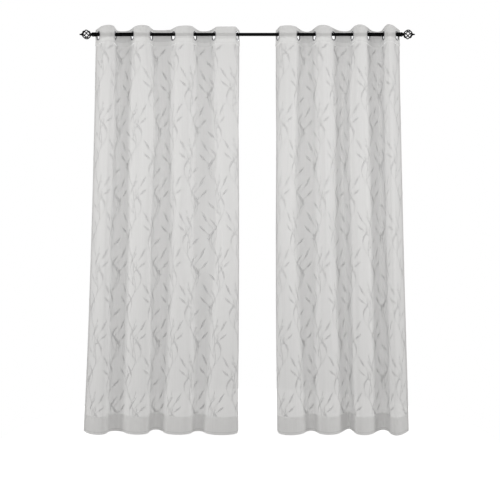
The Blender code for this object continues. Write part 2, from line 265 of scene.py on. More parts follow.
VOILE_ALPHA = 0.84
BAND_ALPHA = 0.66
# The voile's second step is painted shade: a dark line just above the stitched hem edge stands for
# the shadow there, and the third step lifts the edge back to the hem's tone.
HEM_LAYERS_AND_PAINTED_SHADOW = (Layer(-2.288, 0.42), Layer(-2.3770, -0.9), Layer(-2.3805, 1.0))
FACING_LAYERS = (Layer(-0.034, 0.5), Layer(-0.056, 0.5))
voile = woven(
    "white voile", VOILE_ALPHA, thread_pitch=0.0009, relief=0.00012,
    dark=(0.69, 0.685, 0.678), light=(0.94, 0.937, 0.93), layers=HEM_LAYERS_AND_PAINTED_SHADOW,
)
band = woven(
    "heading band", BAND_ALPHA, thread_pitch=0.0012, relief=0.0002,
    dark=(0.70, 0.697, 0.69), light=(0.98, 0.978, 0.97), layers=FACING_LAYERS,
)
print("cloth finishes:", voile.name, band.name)

# %% [markdown]
# ## Thread
#
# The vines are satin stitch: smooth, slightly shiny thread laid side by side across each leaf.
# Its ridges follow the stroke, so they read the stroke's own map, in metres along the leaf.

# %% Embroidery thread
STITCH_PITCH = 0.0007
RIDGE_DEPTH = 0.00015
THREAD_ALPHA = 0.84
THREAD_DARK = (0.82, 0.82, 0.82)
THREAD_LIGHT = (0.90, 0.90, 0.90)
thread = new_finish("embroidery thread", {
    "Alpha": THREAD_ALPHA,
    "Roughness": 0.5,
    "Sheen Weight": 0.2,
    "Sheen Roughness": 0.4,
})
stroke_map = add_node(thread, "ShaderNodeTexCoord")["UV"]
ridges = add_node(
    thread,
    "ShaderNodeTexWave",
    {"Vector": stroke_map, "Scale": wave_scale(STITCH_PITCH), "Distortion": 1.0},
    bands_direction="X",
)
thread_place = add_node(thread, "ShaderNodeTexCoord")["Object"]
tone = add_noise(thread, thread_place, 60.0)
feed(thread, "Base Color", two_tones(thread, tone, THREAD_DARK, THREAD_LIGHT))
add_bump(thread, ridges[1], 0.5, RIDGE_DEPTH)
print("thread ridges every", STITCH_PITCH * 1000, "mm")

# %% [markdown]
# ## Metals
#
# The eyelets are pressed and chromed, with the faint unevenness of a plated pressing. The rod is
# powder coated: a satin black with a fine orange-peel, a little shinier in some patches.

# %% Chrome and black metal
PATCH_SPREAD = 12


def metal(name, values, grain, relief, rough_from, rough_to):
    """A metal whose grain varies its roughness and its surface, read in the object's space."""
    finish = new_finish(name, values)
    place = add_node(finish, "ShaderNodeTexCoord")["Object"]
    patches = add_noise(finish, place, grain / PATCH_SPREAD)
    rough = {"Value": patches, "To Min": rough_from, "To Max": rough_to}
    feed(finish, "Roughness", add_node(finish, "ShaderNodeMapRange", rough)[0])
    add_bump(finish, add_noise(finish, place, grain), 0.3, relief)
    return finish


chrome = metal(
    "eyelet chrome",
    {"Base Color": (0.42, 0.43, 0.45, 1), "Metallic": 1.0},
    grain=500, relief=0.00003, rough_from=0.10, rough_to=0.28,
)
black = metal(
    "black powder coat",
    {"Base Color": (0.002, 0.002, 0.0023, 1), "Specular IOR Level": 0.05},
    grain=1400, relief=0.00006, rough_from=0.42, rough_to=0.60,
)
print("metal finishes:", chrome.name, black.name)

# %% [markdown]
# ## How the cloth hangs
#
# An eyelet curtain snakes in front of and behind its rod. A fold line is where the cloth crosses
# under the rod, between a front fold and a back fold. Where the lines stand at five levels, and
# where they lie on the cloth at the hem, fixes the whole curtain, because the cloth between two
# lines keeps its width: the closer they come, the deeper the fold. A line also leans, by a few
# degrees more or less than an even fold, so front folds hang over towards the middle of the pair.
#
# A cloth simulation would settle somewhere near. Working the folds out keeps them where they are
# on the real pair, and it is quick.

# %% Sizes of the cloth and its fold lines
CLOTH_WIDTH = 1.320
CLOTH_DROP = 2.430
EYELETS = 8
SIDE_MARGIN = 0.0475
EYELET_PITCH = (CLOTH_WIDTH - 2 * SIDE_MARGIN) / (EYELETS - 1)
HEADING_DEPTH = 0.098
HEADING_TOP = 0.0375
HEADING_BOTTOM = HEADING_TOP - HEADING_DEPTH
HEM = HEADING_TOP - CLOTH_DROP
EYELET_STUB = 0.030
STUBS_GONE_BY = 0.60
STEEPEST_CROSSING = math.radians(74)
HALVINGS = 18
BULGE_POINTS = 37

LEVEL_HEIGHTS = (-0.065, -0.52, -1.20, -1.90, -2.39)
FoldLine = namedtuple("FoldLine", "rod upper middle low hem cloth_at_hem lean")
Knot = namedtuple("Knot", "place cloth angle")
LEFT_FOLDS = (
    FoldLine(-0.893, -0.903, -0.919, -0.942, -0.966, 0.0475, -18),
    FoldLine(-0.793, -0.796, -0.819, -0.826, -0.840, 0.2225, 16),
    FoldLine(-0.689, -0.709, -0.712, -0.727, -0.738, 0.3575, -11),
    FoldLine(-0.577, -0.552, -0.574, -0.578, -0.592, 0.5405, 16),
    FoldLine(-0.443, -0.451, -0.451, -0.472, -0.497, 0.7155, -2),
    FoldLine(-0.314, -0.319, -0.328, -0.318, -0.332, 0.9205, 8),
    FoldLine(-0.199, -0.187, -0.184, -0.222, -0.258, 1.0255, 2),
    FoldLine(-0.061, -0.052, -0.050, -0.053, -0.058, 1.2725, 22),
)
RIGHT_FOLDS = (
    FoldLine(0.186, 0.180, 0.178, 0.180, 0.187, 0.0475, 12),
    FoldLine(0.306, 0.299, 0.290, 0.322, 0.348, 0.2625, -6),
    FoldLine(0.405, 0.413, 0.419, 0.406, 0.422, 0.3825, 2),
    FoldLine(0.518, 0.527, 0.527, 0.548, 0.564, 0.5675, -14),
    FoldLine(0.632, 0.608, 0.620, 0.632, 0.646, 0.7625, 9),
    FoldLine(0.728, 0.743, 0.755, 0.766, 0.768, 0.9425, -14),
    FoldLine(0.820, 0.824, 0.836, 0.851, 0.855, 1.0975, 14),
    FoldLine(0.899, 0.909, 0.924, 0.942, 0.955, 1.2725, -17),
)
print("fold lines:", len(LEFT_FOLDS) + len(RIGHT_FOLDS))


# %% Where a fold line is at one height
def between_levels(line, z):
    """A fold line's x at height z, on a smooth curve through its levels."""
    heights = LEVEL_HEIGHTS
    places = line[:len(heights)]
    last = len(heights) - 1
    step = 0
    while step < last - 1 and z < heights[step + 1]:
        step += 1
    before = max(step - 1, 0)
    after = min(step + 2, last)
    height = heights[step + 1] - heights[step]
    start_slope = (places[step + 1] - places[before]) / (heights[step + 1] - heights[before])
    end_slope = (places[after] - places[step]) / (heights[after] - heights[step])
    t = min(max((z - heights[step]) / height, 0.0), 1.0)
    rise = t * t * (3 - 2 * t)
    start_pull = t * (1 - t) ** 2 * start_slope * height
    end_pull = t * t * (t - 1) * end_slope * height
    return places[step] * (1 - rise) + places[step + 1] * rise + start_pull + end_pull


def fallen(z):
    """How far down the cloth a height is: 0 at the heading, 1 at the hem."""
    return min(max((HEADING_BOTTOM - z) / (HEADING_BOTTOM - HEM), 0.0), 1.0)


def stub_length(z):
    """How far the cloth runs straight from a fold line: stiff at the eyelets, soft lower down."""
    return EYELET_STUB * max(0.0, 1 - fallen(z) / STUBS_GONE_BY)


print("last line on the left, rod to hem:", LEFT_FOLDS[-1][:len(LEVEL_HEIGHTS)])


# %% How steeply the cloth crosses its fold lines
def direction(angle, side):
    """The way the cloth runs at this angle to the rod. Front is -1 and back is 1."""
    return Vector((math.cos(angle), side * math.sin(angle), 0))


def round_fold_angle(cloth, spacing, stub):
    """The crossing angle of a fold whose straight stubs lead into one round arc between them."""
    flat, steep = 0.0, STEEPEST_CROSSING
    for _ in range(HALVINGS):
        angle = (flat + steep) / 2
        arc = cloth - 2 * stub
        chord = spacing - 2 * stub * math.cos(angle)
        if arc * math.sin(angle) > angle * chord:
            flat = angle
        else:
            steep = angle
    return angle


def fold_knots(folds, z):
    """Where each fold line is at height z, its place along the cloth and its crossing angle."""
    fall = fallen(z)
    stub = stub_length(z)
    places = [Vector((between_levels(line, z), 0, z)) for line in folds]
    cloth = []
    for number, line in enumerate(folds):
        at_rod = SIDE_MARGIN + EYELET_PITCH * number
        cloth.append(at_rod + (line.cloth_at_hem - at_rod) * fall)
    angles = []
    for number in range(EYELETS - 1):
        spacing = (places[number + 1] - places[number]).length
        angles.append(round_fold_angle(cloth[number + 1] - cloth[number], spacing, stub))
    before = [angles[0], *angles]
    after = [*angles, angles[-1]]
    leaning = [
        (a + b) / 2 + math.radians(line.lean) for a, b, line in zip(before, after, folds)
    ]
    return [Knot(*knot) for knot in zip(places, cloth, leaning)]


at_eyelets = fold_knots(LEFT_FOLDS, HEADING_TOP)
print("crossing angles at the left eyelets:", [round(math.degrees(k.angle)) for k in at_eyelets])


# %% One fold in plan
def length_of(points):
    return sum((b - a).length for a, b in zip(points, points[1:]))


def bulge(start, end, leaving, arriving, cloth):
    """One fold from start to end, as deep as its width of cloth makes it."""
    shallow, deep = 0.0, cloth
    for _ in range(HALVINGS):
        pull = (shallow + deep) / 2
        first_handle = start + leaving * pull
        last_handle = end - arriving * pull
        points = interpolate_bezier(start, first_handle, last_handle, end, BULGE_POINTS)
        if length_of(points) < cloth:
            shallow = pull
        else:
            deep = pull
    return points


def fold_side(line_number):
    """Which way the cloth goes after a fold line: the first fold is a front one."""
    return 1 if line_number % 2 else -1


# %% [markdown]
# ## Soft creases
#
# Real voile is never a clean wave. Below each eyelet the pull of its weight draws a short slanting
# crease, and longer soft ones wander down the folds from where the cloth was packed and pressed.
# Each is a trough or a ridge with its own place, width and depth, and slow noise stirs the rest.

# %% Creases
Crease = namedtuple("Crease", "top across_top bottom across_bottom width depth")
LEFT_CREASES = (
    Crease(-0.07, 0.075, -0.95, 0.115, 0.012, 0.0035),
    Crease(-0.06, 0.160, -0.42, 0.140, 0.009, -0.0030),
    Crease(-0.30, 0.185, -2.20, 0.190, 0.014, 0.0030),
    Crease(-0.06, 0.425, -0.55, 0.500, 0.010, 0.0040),
    Crease(-0.08, 0.470, -1.50, 0.445, 0.015, -0.0035),
    Crease(-1.10, 0.440, -2.30, 0.470, 0.012, 0.0030),
    Crease(-0.06, 0.600, -0.60, 0.650, 0.012, -0.0030),
    Crease(-0.06, 0.780, -0.80, 0.840, 0.011, 0.0035),
    Crease(-0.90, 0.800, -2.25, 0.850, 0.016, -0.0035),
    Crease(-0.07, 0.960, -0.70, 1.000, 0.011, 0.0030),
    Crease(-0.06, 1.120, -0.90, 1.180, 0.012, 0.0040),
    Crease(-0.60, 1.080, -2.20, 1.130, 0.018, -0.0040),
    Crease(-1.30, 1.200, -2.35, 1.190, 0.013, 0.0030),
)
RIGHT_CREASES = (
    Crease(-0.07, 0.120, -0.85, 0.160, 0.012, 0.0035),
    Crease(-0.60, 0.140, -2.20, 0.110, 0.016, -0.0035),
    Crease(-0.06, 0.270, -0.50, 0.300, 0.010, -0.0030),
    Crease(-0.06, 0.470, -1.10, 0.440, 0.012, 0.0035),
    Crease(-1.00, 0.480, -2.30, 0.520, 0.014, 0.0030),
    Crease(-0.07, 0.640, -0.65, 0.600, 0.011, -0.0030),
    Crease(-0.06, 0.800, -0.90, 0.850, 0.012, 0.0040),
    Crease(-0.80, 0.850, -2.20, 0.830, 0.015, -0.0030),
    Crease(-0.06, 0.990, -0.70, 1.020, 0.010, 0.0030),
    Crease(-0.07, 1.150, -0.55, 1.110, 0.010, 0.0040),
    Crease(-0.50, 1.190, -2.30, 1.180, 0.014, 0.0035),
)
CREASE_FADE = 0.7
STIRRING_DEPTH = 0.25
Stir = namedtuple("Stir", "across down height seed_shift")
STIRS = (Stir(8, 0.9, 0.0035, 0), Stir(34, 2.2, 0.0006, 7))


def relief(across, z, creases, seed):
    """How far the cloth stands proud of its plain fold, towards the room."""
    stirred = 0.0
    for stir in STIRS:
        place = Vector((across * stir.across, z * stir.down, seed + stir.seed_shift))
        stirred += noise.noise(place) * stir.height
    height = stirred * min(max((HEADING_BOTTOM - z) / STIRRING_DEPTH, 0.0), 1.0)
    for crease in creases:
        down = (crease.top - z) / (crease.top - crease.bottom)
        if 0 < down < 1:
            middle = crease.across_top + (crease.across_bottom - crease.across_top) * down
            fade = math.sin(math.pi * down) ** CREASE_FADE
            offset = (across - middle) / crease.width
            height += crease.depth * fade * math.exp(-offset * offset)
    return height


print("creases:", len(LEFT_CREASES) + len(RIGHT_CREASES))

# %% [markdown]
# ## From flat to hung
#
# Cloth is cut, punched and embroidered flat, and hung last. The script does the same. Every cloth
# piece is modelled flat, standing in the XZ plane: x is the distance across the cloth, z the
# height at which it will hang, and -y is how far a thread or a layer stands proud of the front.
# Then each vertex is carried to its place on the hung curtain. Holes stay round and stitches stay
# as long as they were made.

# %% The hung cloth
COLUMN_STEP = 0.005
ROW_STEP = 0.020
JUST_INSIDE = 0.001


class HungCloth:
    """One curtain's surface, kept as rows of points with the way each faces."""

    def __init__(self, folds, creases, seed):
        self.columns = round(CLOTH_WIDTH / COLUMN_STEP)
        self.rows = math.ceil(CLOTH_DROP / ROW_STEP)
        self.folds = folds
        smooth = [self.plain_row(HEADING_TOP - row * ROW_STEP) for row in range(self.rows + 1)]
        fronts = self.facing(smooth)
        self.points = []
        for row, (places, faces) in enumerate(zip(smooth, fronts)):
            z = HEADING_TOP - row * ROW_STEP
            heights = [relief(i * COLUMN_STEP, z, creases, seed) for i in range(len(places))]
            moved = [p + f * h for p, f, h in zip(places, faces, heights)]
            self.points.append(moved)
        self.fronts = self.facing(self.points)

    def plain_row(self, z):
        """Points every few millimetres of cloth at height z, before any creases."""
        stub = stub_length(z)
        knots = fold_knots(self.folds, z)
        path = [knots[0].place - direction(knots[0].angle, -1) * SIDE_MARGIN]
        for number, (first, last) in enumerate(zip(knots, knots[1:])):
            side = fold_side(number)
            leaving = direction(first.angle, side)
            arriving = direction(last.angle, -side)
            start = first.place + leaving * stub
            end = last.place - arriving * stub
            width = last.cloth - first.cloth - 2 * stub
            path += [first.place, *bulge(start, end, leaving, arriving, width)]
        path += [knots[-1].place, knots[-1].place + direction(knots[-1].angle, 1) * SIDE_MARGIN]
        return self.spaced(path)

    def spaced(self, path):
        """Points at even distances along a path, as many as the cloth has columns."""
        spots = []
        piece, walked = 0, 0.0
        step = (path[1] - path[0]).length
        for column in range(self.columns + 1):
            target = column * COLUMN_STEP
            while target > walked + step and piece < len(path) - 2:
                walked += step
                piece += 1
                step = (path[piece + 1] - path[piece]).length
            share = (target - walked) / step if step else 0.0
            spots.append(path[piece].lerp(path[piece + 1], share))
        return spots

    def facing(self, points):
        """The way the cloth's front faces at each point."""
        faces = []
        for row in range(self.rows + 1):
            above = points[max(row - 1, 0)]
            below = points[min(row + 1, self.rows)]
            line = points[row]
            last = len(line) - 1
            faces.append([
                (line[min(i + 1, last)] - line[max(i - 1, 0)]).cross(above[i] - below[i]).normalized()
                for i in range(last + 1)
            ])
        return faces

    def place(self, flat):
        """Where a point of the flat cloth lies once it is hung."""
        column = min(max(flat.x / COLUMN_STEP, 0.0), self.columns - JUST_INSIDE)
        row = min(max((HEADING_TOP - flat.z) / ROW_STEP, 0.0), self.rows - JUST_INSIDE)
        i, j = int(column), int(row)
        across, down = column - i, row - j
        upper = self.points[j][i].lerp(self.points[j][i + 1], across)
        lower = self.points[j + 1][i].lerp(self.points[j + 1][i + 1], across)
        front_above = self.fronts[j][i].lerp(self.fronts[j][i + 1], across)
        front_below = self.fronts[j + 1][i].lerp(self.fronts[j + 1][i + 1], across)
        front = front_above.lerp(front_below, down).normalized()
        return upper.lerp(lower, down) - front * flat.y

    def hang(self, mesh):
        for vertex in mesh.vertices:
            vertex.co = self.place(vertex.co)
        mesh.update()


Side = namedtuple("Side", "name folds cloth outward")
sides = (
    Side("left", LEFT_FOLDS, HungCloth(LEFT_FOLDS, LEFT_CREASES, 3.0), -1),
    Side("right", RIGHT_FOLDS, HungCloth(RIGHT_FOLDS, RIGHT_CREASES, 41.0), 1),
)
for side in sides:
    print(side.name, "hung points:", len(side.cloth.points) * len(side.cloth.points[0]))

# %% [markdown]
# ## Pieces
#
# A finished piece is an object at the origin whose mesh already lies in place. It rides on the
# part's one body, takes its finish, and hides the plain solid that it stands for.

# %% Helpers for pieces
WELD = 0.00001


def add_piece(name, mesh, finish, slot, *stands_for):
    piece = bpy.data.objects.new(name, mesh)
    bpy.context.scene.collection.objects.link(piece)
    mesh.materials.append(finish)
    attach(piece, "root")
    if stands_for:
        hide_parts(*stands_for)
    return piece


def as_mesh(name, shape):
    """Turns a finished bmesh into a mesh and frees it."""
    mesh = bpy.data.meshes.new(name)
    shape.to_mesh(mesh)
    shape.free()
    return mesh


def flat_grid(left, right, top, bottom, columns, rows):
    """A flat grid of cloth that stands in the XZ plane and faces the room."""
    grid = bmesh.new()
    bmesh.ops.create_grid(grid, x_segments=columns, y_segments=rows, size=0.5)
    stand = Matrix.Rotation(math.pi / 2, 4, "X")
    stretch = Matrix.Diagonal((right - left, top - bottom, 1, 1))
    middle = Matrix.Translation(((left + right) / 2, 0, (top + bottom) / 2))
    bmesh.ops.transform(grid, matrix=middle @ stand @ stretch, verts=grid.verts)
    return grid


def map_flat(shape):
    """Gives each corner its place on the flat cloth, in metres, as its UV."""
    flat_map = shape.loops.layers.uv.new("flat cloth")
    for face in shape.faces:
        for corner in face.loops:
            corner[flat_map].uv = (corner.vert.co.x, corner.vert.co.z)


# %% [markdown]
# ## The voile, with its hems
#
# The cloth is cut wider and longer than it hangs. Its side edges turn to the back by 25 mm, and
# its lower edge by about 105 mm, so a hem is really two layers, and that is why it looks denser.
# Turning the edge of one grid gives the same: a cut just beside each fold line keeps the turn
# crisp, and a small gap holds the layers apart.

# %% Voile panels
SIDE_HEM_COLUMNS = 5
SIDE_HEM = SIDE_HEM_COLUMNS * COLUMN_STEP
PANEL_ROWS = 111
HEM_ROWS = 5
TUCK = 0.0015
PANEL_TOP = HEADING_BOTTOM + TUCK
PANEL_ROW = (PANEL_TOP - HEM) / PANEL_ROWS
HEM_DEPTH = HEM_ROWS * PANEL_ROW
LAYER_GAP = 0.0010
TURN = 0.0020


def cut_all_through(shape, place, normal):
    geometry = [*shape.verts, *shape.edges, *shape.faces]
    bmesh.ops.bisect_plane(shape, geom=geometry, plane_co=place, plane_no=normal)


def turned_back(past):
    """How far behind the front layer the turned edge lies, this far past the fold."""
    t = min(max(past / TURN, 0.0), 1.0)
    return LAYER_GAP * t * t * (3 - 2 * t)


def turn_hems(shape):
    for vertex in shape.verts:
        past_left = max(-vertex.co.x, 0.0)
        past_right = max(vertex.co.x - CLOTH_WIDTH, 0.0)
        past_hem = max(HEM - vertex.co.z, 0.0)
        vertex.co.x += 2 * past_left - 2 * past_right
        vertex.co.z += 2 * past_hem
        vertex.co.y = turned_back(past_left + past_right) + turned_back(past_hem)


def add_voile(side):
    columns = round(CLOTH_WIDTH / COLUMN_STEP) + 2 * SIDE_HEM_COLUMNS
    flat = flat_grid(
        -SIDE_HEM, CLOTH_WIDTH + SIDE_HEM, PANEL_TOP, HEM - HEM_DEPTH, columns, PANEL_ROWS + HEM_ROWS
    )
    for beside in (-TURN, TURN):
        cut_all_through(flat, (beside, 0, 0), (1, 0, 0))
        cut_all_through(flat, (CLOTH_WIDTH + beside, 0, 0), (1, 0, 0))
        cut_all_through(flat, (0, 0, HEM + beside), (0, 0, 1))
    map_flat(flat)
    turn_hems(flat)
    mesh = as_mesh(f"voile_{side.name}", flat)
    side.cloth.hang(mesh)
    mesh.shade_smooth()
    return add_piece(f"voile_{side.name}", mesh, voile, "voile", f"panel_{side.name}")


panels = {side.name: add_voile(side) for side in sides}
print("hem depth:", round(HEM_DEPTH, 4), "faces:", len(panels["left"].data.polygons))

# %% [markdown]
# ## The heading band
#
# The heading is two layers of voile over a stiff net, with eight punched holes. The holes could
# be modelled one by one as rings of faces, but punching is simpler: a flat band is given its
# thickness, and one object with eight round punches is taken out of it while it is still flat.
# Its lowest strip is the turned edge of the facing. It flares a little towards the room, which
# sets it off from the folds below.

# %% Sizes of the heading and its holes
HEADING_THICKNESS = 0.0024
CLOTH_HOLE_RADIUS = 0.0231
EYELET_HOLE_RADIUS = 0.0200
OUTER_TUBE_RADIUS = 0.0110
MIDDLE_TUBE_RADIUS = 0.0095
HANG_GAP = 0.0008
LEFT_JOINT = -0.633
RIGHT_JOINT = 0.677
FACING_EDGE = 0.027
FACING_FLARE = 0.08
FACING_THICKNESS = 0.0003
LOWEST_POINTS = 0.001
BAND_ROWS = 14
PUNCH_DEPTH = 0.020
PUNCH_SIDES = 48
BAND_SHARPNESS = math.radians(50)


def eyelet_height(line):
    """An eyelet hangs from the top of the tube inside it, so its middle lies a little lower."""
    on_middle_tube = LEFT_JOINT < line.rod < RIGHT_JOINT
    tube_radius = MIDDLE_TUBE_RADIUS if on_middle_tube else OUTER_TUBE_RADIUS
    return tube_radius + HANG_GAP - EYELET_HOLE_RADIUS


print("middle of the first eyelet:", round(eyelet_height(LEFT_FOLDS[0]), 4))


# %% Heading bands
def evaluated_mesh(obj):
    """The mesh that an object's modifiers make, after which the object is removed."""
    graph = bpy.context.evaluated_depsgraph_get()
    mesh = bpy.data.meshes.new_from_object(obj.evaluated_get(graph))
    bpy.data.objects.remove(obj, do_unlink=True)
    return mesh


def punches_for(side):
    """One object with a round punch for each eyelet, on the flat cloth."""
    punches = bmesh.new()
    for number, line in enumerate(side.folds):
        across = SIDE_MARGIN + EYELET_PITCH * number
        middle = Matrix.Translation((across, 0, eyelet_height(line)))
        bmesh.ops.create_cone(
            punches, cap_ends=True, segments=PUNCH_SIDES, depth=PUNCH_DEPTH,
            radius1=CLOTH_HOLE_RADIUS, radius2=CLOTH_HOLE_RADIUS,
            matrix=middle @ Matrix.Rotation(math.pi / 2, 4, "X"),
        )
    return bpy.data.objects.new("punches", as_mesh("punches", punches))


def punched_band(side):
    """A flat band of the heading's thickness with its holes punched out."""
    punch = punches_for(side)
    columns = round(CLOTH_WIDTH / COLUMN_STEP)
    flat = flat_grid(0, CLOTH_WIDTH, HEADING_TOP, HEADING_BOTTOM, columns, BAND_ROWS)
    blank = bpy.data.objects.new("heading blank", as_mesh("heading blank", flat))
    for helper in (punch, blank):
        bpy.context.scene.collection.objects.link(helper)
    layers = blank.modifiers.new("Layers", "SOLIDIFY")
    layers.thickness = HEADING_THICKNESS
    layers.offset = 0
    holes = blank.modifiers.new("Holes", "BOOLEAN")
    holes.operation = "DIFFERENCE"
    holes.object = punch
    punched = bmesh.new()
    punched.from_mesh(evaluated_mesh(blank))
    bpy.data.objects.remove(punch, do_unlink=True)
    bmesh.ops.triangulate(punched, faces=punched.faces)
    return punched


def flare_facing(punched):
    flared = HEADING_THICKNESS / 2 + FACING_EDGE * FACING_FLARE
    for vertex in punched.verts:
        below_edge = HEADING_BOTTOM + FACING_EDGE - vertex.co.z
        if below_edge > 0 and vertex.co.y < 0:
            vertex.co.y -= below_edge * FACING_FLARE
        elif vertex.co.z < HEADING_BOTTOM + LOWEST_POINTS:
            vertex.co.y = FACING_THICKNESS - flared


def add_heading(side):
    punched = punched_band(side)
    flare_facing(punched)
    map_flat(punched)
    mesh = as_mesh(f"heading_band_{side.name}", punched)
    side.cloth.hang(mesh)
    mesh.shade_smooth()
    mesh.set_sharp_from_angle(angle=BAND_SHARPNESS)
    return add_piece(
        f"heading_band_{side.name}", mesh, band, "heading_band", f"heading_{side.name}"
    )


headings = {side.name: add_heading(side) for side in sides}
print("heading faces:", len(headings["left"].data.polygons))

# %% [markdown]
# ## Strokes of thread
#
# A leaf, a stem and a single stitch are the same form: thread laid along a line, thin at its ends
# and thickest in the middle. Each could be a curve with a bevel. Here it is a grid rolled round
# its line, which gives the stroke its own map for the thread's ridges, and the width and the
# height can differ, as satin stitch is broad and flat.

# %% A stroke
STALK_WIDTH = 0.0036
TIP_WIDTH = 0.0010
BLADE_SKEW = 0.8


def add_stroke(shape, points, widths, height, around):
    """Rolls a grid round a line of flat points. The widths go with the points."""
    steps = len(points) - 1
    stroke_map = shape.loops.layers.uv.verify()
    made = bmesh.ops.create_grid(
        shape, x_segments=steps, y_segments=around, size=0.5, calc_uvs=True
    )["verts"]
    length = length_of(points)
    for vertex in made:
        step = round((vertex.co.x + 0.5) * steps)
        turn = 2 * math.pi * (vertex.co.y + 0.5)
        ahead = points[min(step + 1, steps)] - points[max(step - 1, 0)]
        sideways = Vector((ahead.z, 0, -ahead.x)).normalized()
        fullness = widths[step] / max(widths)
        out = Vector((0, -math.sin(turn) * height * fullness, 0))
        vertex.co = points[step] + sideways * math.cos(turn) * widths[step] / 2 + out
        for corner in vertex.link_loops:
            corner[stroke_map].uv.x *= length
    return made


def curved_line(x, z, heading, length, sway, curl, steps):
    """A line that sets out at a heading from straight up, sways both ways and curls at its tip."""
    points = [Vector((x, 0, z))]
    for step in range(steps):
        t = (step + 0.5) / steps
        angle = math.radians(heading + sway * math.sin(2 * math.pi * t) + curl * t)
        ahead = Vector((math.sin(angle), 0, math.cos(angle))) * length / steps
        points.append(points[-1] + ahead)
    return points


def leaf_widths(width, steps, stalk_share):
    """A thin stalk that swells into a long blade, widest before its middle, with a fine tip."""
    widths = []
    for step in range(steps + 1):
        share = step / steps
        along_blade = max(share - stalk_share, 0.0) / (1 - stalk_share)
        blade = width * math.sin(math.pi * along_blade ** BLADE_SKEW)
        stalk = STALK_WIDTH + (TIP_WIDTH - STALK_WIDTH) * share
        widths.append(max(blade, stalk))
    return widths


# %% [markdown]
# ## The vine chart
#
# The embroidery repeats every 430 mm down the cloth. One repeat is charted: a thin stem
# that weaves from side to side, branches that sway away from it and end in a willow leaf, six long
# and three short, and sprigs with two small leaves. The chart is a layout of this script's own, in
# the manner of such vines. A heading is in degrees from straight up, to the right.

# %% Chart of one repeat
REPEAT = 0.430
STEM_SWING = 0.027
SECOND_SWING = 0.35
SECOND_START = 0.8
STEM_WIDTH = 0.0037
STEM_STEPS = 54
BRANCH_STEPS = 20
BRANCH_STALK = 0.46
SPRIG_WIDTH = 0.0028
SPRIG_STEPS = 6
Branch = namedtuple("Branch", "up heading length width sway curl")
Sprig = namedtuple("Sprig", "up heading length curl")
SmallLeaf = namedtuple("SmallLeaf", "joint turn length width")
BRANCHES = (
    Branch(0.020, 36, 0.200, 0.0110, 14, -76),
    Branch(0.060, -58, 0.112, 0.0108, 6, 26),
    Branch(0.100, -30, 0.182, 0.0106, -12, 72),
    Branch(0.148, 62, 0.104, 0.0104, -6, -24),
    Branch(0.172, 18, 0.150, 0.0110, 16, 34),
    Branch(0.245, -38, 0.204, 0.0112, -14, 78),
    Branch(0.310, 30, 0.178, 0.0106, 12, -70),
    Branch(0.350, -54, 0.108, 0.0106, 6, 24),
    Branch(0.390, -18, 0.145, 0.0110, -16, -30),
)
SPRIGS = (
    Sprig(0.055, -48, 0.040, 40),
    Sprig(0.140, 54, 0.034, -46),
    Sprig(0.235, 50, 0.042, -38),
    Sprig(0.320, -56, 0.036, 52),
)
SMALL_LEAVES = (SmallLeaf(6, 0, 0.034, 0.0062), SmallLeaf(3, 46, 0.026, 0.0050))
SMALL_LEAF_STEPS = 8
SMALL_SWAY = 12
SMALL_STALK = 0.12
THREAD_HEIGHT = 0.0007


def on_stem(up):
    """The weaving stem's point at this height of the repeat."""
    turn = 2 * math.pi * up / REPEAT
    swing = math.sin(turn) + SECOND_SWING * math.sin(2 * turn + SECOND_START)
    return Vector((STEM_SWING * swing, 0, up))


def add_branch(shape, branch):
    """A swaying stalk from the stem that ends in one long leaf."""
    start = on_stem(branch.up)
    points = curved_line(
        start.x, start.z, branch.heading, branch.length, branch.sway, branch.curl, BRANCH_STEPS
    )
    widths = leaf_widths(branch.width, BRANCH_STEPS, BRANCH_STALK)
    add_stroke(shape, points, widths, THREAD_HEIGHT, around=6)


def add_sprig(shape, sprig):
    """A short curved line with a small leaf at its end and a smaller one beside it."""
    start = on_stem(sprig.up)
    line = curved_line(start.x, start.z, sprig.heading, sprig.length, 0, sprig.curl, SPRIG_STEPS)
    add_stroke(shape, line, [SPRIG_WIDTH] * (SPRIG_STEPS + 1), THREAD_HEIGHT, around=5)
    outwards = math.copysign(1, sprig.heading)
    for leaf in SMALL_LEAVES:
        foot = line[leaf.joint]
        heading = sprig.heading + sprig.curl + leaf.turn * outwards
        points = curved_line(
            foot.x, foot.z, heading, leaf.length, SMALL_SWAY, 0, SMALL_LEAF_STEPS
        )
        widths = leaf_widths(leaf.width, SMALL_LEAF_STEPS, SMALL_STALK)
        add_stroke(shape, points, widths, THREAD_HEIGHT, around=5)


def vine_repeat():
    """One repeat of the vine, flat, from its foot upwards."""
    vine = bmesh.new()
    stem = [on_stem(REPEAT * step / STEM_STEPS) for step in range(STEM_STEPS + 1)]
    add_stroke(vine, stem, [STEM_WIDTH] * (STEM_STEPS + 1), THREAD_HEIGHT, around=5)
    for branch in BRANCHES:
        add_branch(vine, branch)
    for sprig in SPRIGS:
        add_sprig(vine, sprig)
    bmesh.ops.remove_doubles(vine, verts=vine.verts, dist=WELD)
    bmesh.ops.recalc_face_normals(vine, faces=vine.faces)
    return vine


print("one repeat, faces:", len(vine_repeat().faces))


# %% [markdown]
# ## Repeating the vine
#
# An embroidery machine stitches the same repeat again and again. An Array modifier does it here:
# one array up the cloth and one across it. Every second vine is a mirrored one, half a repeat
# higher, so that leaves fill the gaps between the leaves beside them. Then the whole is trimmed
# at the heading and at the hem, where the plain cloth begins, and hung.

# %% Embroidery
VINE_PITCH = 0.164
VINES_EACH_WAY = 4
FIRST_VINE = (CLOTH_WIDTH - VINE_PITCH * (2 * VINES_EACH_WAY - 1)) / 2
REPEATS_UP = 7
START_SHARE = 0.35
PLAIN_MARGIN = 0.004
EMBROIDERY_FOOT = HEM + HEM_DEPTH + PLAIN_MARGIN
EMBROIDERY_HEAD = HEADING_BOTTOM - PLAIN_MARGIN


